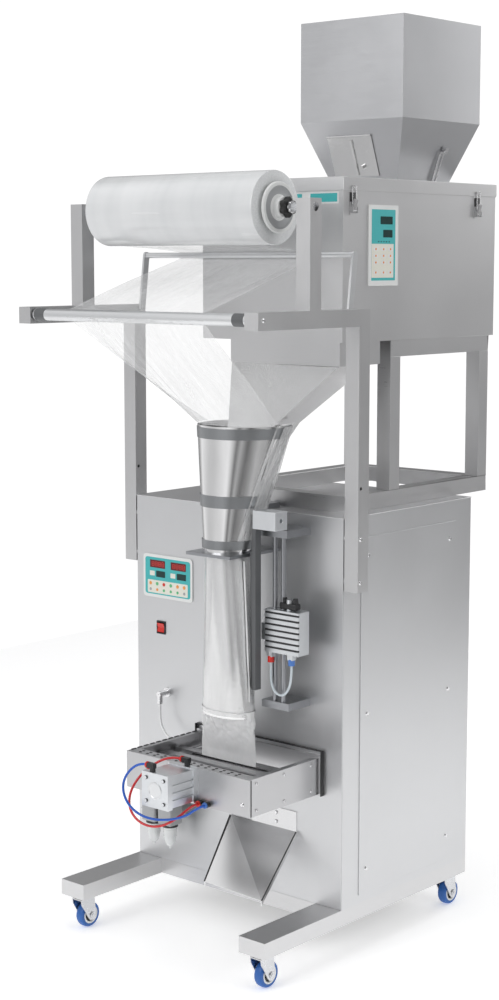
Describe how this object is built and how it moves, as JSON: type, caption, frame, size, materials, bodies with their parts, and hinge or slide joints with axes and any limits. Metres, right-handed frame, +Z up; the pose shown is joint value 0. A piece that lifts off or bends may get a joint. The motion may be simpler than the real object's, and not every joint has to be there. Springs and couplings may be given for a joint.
{
  "type": "vertical form fill sealer",
  "caption": "Free-standing vertical form fill sealer with a linear weigher, product hopper, forming collar, film roll and air-driven sealing jaws.",
  "frame": {"origin": "on the floor, under the middle of the machine's bounding box", "axes": "+X to the right of an operator who faces the machine, +Y to the rear, +Z up; the film and the operator are on the -Y side"},
  "size_m": [0.772, 1.0846, 2.29],
  "materials": {
    "rail_steel": "brushed stainless tube",
    "castor_steel": "zinc plated pressings",
    "castor_tyre": "blue elastic tyre on a white hub",
    "panel_steel": "brushed stainless sheet",
    "screw_steel": "domed socket screws",
    "fascia_film": "printed membrane fascia",
    "switch_red": "red rocker",
    "gear_grey": "light grey enclosure",
    "weigher_steel": "brushed stainless sheet",
    "latch_steel": "bright plated",
    "hopper_steel": "fine brushed stainless sheet",
    "feeder_steel": "grey cast and painted",
    "cell_aluminium": "machined",
    "collar_steel": "mirror polished stainless",
    "bracket_aluminium": "satin",
    "film_clear": "translucent packing film",
    "cone_plastic": "white moulded flanges",
    "shaft_steel": "ground shaft with dark star knobs",
    "roller_aluminium": "satin tube with dark end sleeves",
    "seal_aluminium": "machined",
    "heater_dark": "dark heat proof cover",
    "jaw_steel": "stainless plate on a black back plate",
    "blade_steel": "ground",
    "ram_aluminium": "anodised",
    "chute_steel": "folded stainless sheet",
    "fitting_blue": "blue push-in fittings on plated bodies",
    "filter_plastic": "grey heads and white bowls",
    "knob_black": "black",
    "hose_red": "red polyurethane",
    "hose_blue": "blue polyurethane",
    "hose_white": "white polyurethane",
    "hose_clear": "clear polyurethane"
  },
  "bodies": {
    "machine": {"base_frame": "rail_steel", "front_panel": "panel_steel", "cabinet_wrap": "panel_steel", "top_plate": "panel_steel", "service_panel": "panel_steel", "cover_screws": "screw_steel", "front_controls": "fascia_film", "control_gear": "gear_grey", "stand_frame": "rail_steel", "weigher_case": "weigher_steel", "weigher_keypad": "fascia_film", "weigher_lid": "weigher_steel", "hopper": "hopper_steel", "feeder_drive": "feeder_steel", "load_cell": "cell_aluminium", "weigh_bucket": "hopper_steel", "outlet_funnel": "hopper_steel", "forming_collar": "collar_steel", "forming_tube": "collar_steel", "tube_brackets": "bracket_aluminium", "film_brackets": "rail_steel", "film_web_upper": "film_clear", "film_web_lower": "film_clear", "bag_film": "film_clear", "seal_mount": "seal_aluminium", "seal_cylinder": "ram_aluminium", "jaw_housing": "jaw_steel", "jaw_cylinder": "ram_aluminium", "chute": "chute_steel", "air_fittings": "fitting_blue", "air_filter": "filter_plastic", "hose_red": "hose_red", "hose_blue": "hose_blue", "hose_white": "hose_white"},
    "film_roll_body": {"film_roll": "film_clear", "roll_cones": "cone_plastic", "roll_shaft": "shaft_steel"},
    "front_roller_body": {"front_roller": "roller_aluminium"},
    "dancer": {"dancer_frame": "roller_aluminium"},
    "seal_bar_body": {"seal_bar": "heater_dark"},
    "carriage": {"pull_carriage": "seal_aluminium", "hose_clear": "hose_clear"},
    "front_jaw_body": {"front_jaw": "jaw_steel"},
    "cutter": {"cutter_blade": "blade_steel"},
    "latch_front": {"latch_lever_front": "latch_steel"},
    "latch_rear": {"latch_lever_rear": "latch_steel"},
    "flap": {"hopper_flap": "hopper_steel"},
    "gate": {"gate_lever": "latch_steel"},
    "pan": {"feeder_pan": "feeder_steel"},
    "bucket_flap": {"bucket_door": "hopper_steel"},
    "rocker": {"switch_rocker": "switch_red"},
    "knob": {"regulator_knob": "knob_black"},
    "fork_front_left": {"castor_fork_front_left": "castor_steel"},
    "wheel_front_left": {"castor_wheel_front_left": "castor_tyre"},
    "fork_front_right": {"castor_fork_front_right": "castor_steel"},
    "wheel_front_right": {"castor_wheel_front_right": "castor_tyre"},
    "fork_rear_left": {"castor_fork_rear_left": "castor_steel"},
    "wheel_rear_left": {"castor_wheel_rear_left": "castor_tyre"},
    "fork_rear_right": {"castor_fork_rear_right": "castor_steel"},
    "wheel_rear_right": {"castor_wheel_rear_right": "castor_tyre"}
  },
  "joints": [
    {"name": "swivel_front_left", "type": "hinge", "parent": "machine", "child": "fork_front_left", "pos_m": [-0.3, -0.4077, 0.06], "axis": [0, 0, 1], "continuous": true},
    {"name": "roll_front_left", "type": "hinge", "parent": "fork_front_left", "child": "wheel_front_left", "pos_m": [-0.3, -0.3917, 0.0325], "axis": [1, 0, 0], "continuous": true},
    {"name": "swivel_front_right", "type": "hinge", "parent": "machine", "child": "fork_front_right", "pos_m": [0.3, -0.4077, 0.06], "axis": [0, 0, 1], "continuous": true},
    {"name": "roll_front_right", "type": "hinge", "parent": "fork_front_right", "child": "wheel_front_right", "pos_m": [0.3, -0.3917, 0.0325], "axis": [1, 0, 0], "continuous": true},
    {"name": "swivel_rear_left", "type": "hinge", "parent": "machine", "child": "fork_rear_left", "pos_m": [-0.3, 0.3343, 0.06], "axis": [0, 0, 1], "continuous": true},
    {"name": "roll_rear_left", "type": "hinge", "parent": "fork_rear_left", "child": "wheel_rear_left", "pos_m": [-0.3, 0.3503, 0.0325], "axis": [1, 0, 0], "continuous": true},
    {"name": "swivel_rear_right", "type": "hinge", "parent": "machine", "child": "fork_rear_right", "pos_m": [0.3, 0.3343, 0.06], "axis": [0, 0, 1], "continuous": true},
    {"name": "roll_rear_right", "type": "hinge", "parent": "fork_rear_right", "child": "wheel_rear_right", "pos_m": [0.3, 0.3503, 0.0325], "axis": [1, 0, 0], "continuous": true},
    {"name": "roll_spin", "type": "hinge", "parent": "machine", "child": "film_roll_body", "pos_m": [0, -0.3217, 1.808], "axis": [1, 0, 0], "continuous": true},
    {"name": "front_roller_spin", "type": "hinge", "parent": "machine", "child": "front_roller_body", "pos_m": [0, -0.4997, 1.56], "axis": [1, 0, 0], "continuous": true},
    {"name": "dancer_swing", "type": "hinge", "parent": "machine", "child": "dancer", "pos_m": [0, -0.1377, 1.571], "axis": [1, 0, 0], "range_deg": [0, 28], "stiffness_Nm_per_rad": 6, "springref_deg": -6.88, "deforming": ["film_web_upper"]},
    {"name": "seal_bar_travel", "type": "slide", "parent": "machine", "child": "seal_bar_body", "axis": [-1, 0, 0], "range_m": [0, 0.0045], "stiffness_N_per_m": 300},
    {"name": "film_pull", "type": "slide", "parent": "machine", "child": "carriage", "axis": [0, 0, 1], "range_m": [-0.09, 0.14]},
    {"name": "jaw_travel", "type": "slide", "parent": "machine", "child": "front_jaw_body", "axis": [0, 1, 0], "range_m": [0, 0.0245]},
    {"name": "cutter_travel", "type": "slide", "parent": "front_jaw_body", "child": "cutter", "axis": [0, 1, 0], "range_m": [0, 0.008], "stiffness_N_per_m": 400},
    {"name": "latch_front_swing", "type": "hinge", "parent": "machine", "child": "latch_front", "pos_m": [0.2985, -0.0727, 1.807], "axis": [0, 1, 0], "range_deg": [0, 95]},
    {"name": "latch_rear_swing", "type": "hinge", "parent": "machine", "child": "latch_rear", "pos_m": [0.2985, 0.4463, 1.807], "axis": [0, 1, 0], "range_deg": [0, 95]},
    {"name": "flap_swing", "type": "hinge", "parent": "machine", "child": "flap", "pos_m": [0.008, 0.20396, 2.00084], "axis": [-1, 0, 0], "range_deg": [0, 75]},
    {"name": "gate_swing", "type": "hinge", "parent": "machine", "child": "gate", "pos_m": [0.21569, 0.4013, 1.97269], "axis": [0.9383, 0, -0.3458], "range_deg": [-20, 20]},
    {"name": "pan_shake", "type": "slide", "parent": "machine", "child": "pan", "axis": [0, 1, 0], "range_m": [-0.001, 0.001], "stiffness_N_per_m": 8000},
    {"name": "bucket_door_swing", "type": "hinge", "parent": "machine", "child": "bucket_flap", "pos_m": [0.075, 0.0299, 1.6229], "axis": [1, 0, 0], "range_deg": [0, 70], "stiffness_Nm_per_rad": 1.5, "springref_deg": -17.19},
    {"name": "switch_rock", "type": "hinge", "parent": "machine", "child": "rocker", "pos_m": [-0.255, -0.1537, 0.748], "axis": [1, 0, 0], "range_deg": [0, 14]},
    {"name": "regulator_turn", "type": "hinge", "parent": "machine", "child": "knob", "pos_m": [-0.235, -0.2127, 0.318], "axis": [0, 0, 1], "range_deg": [-120, 120]}
  ]
}
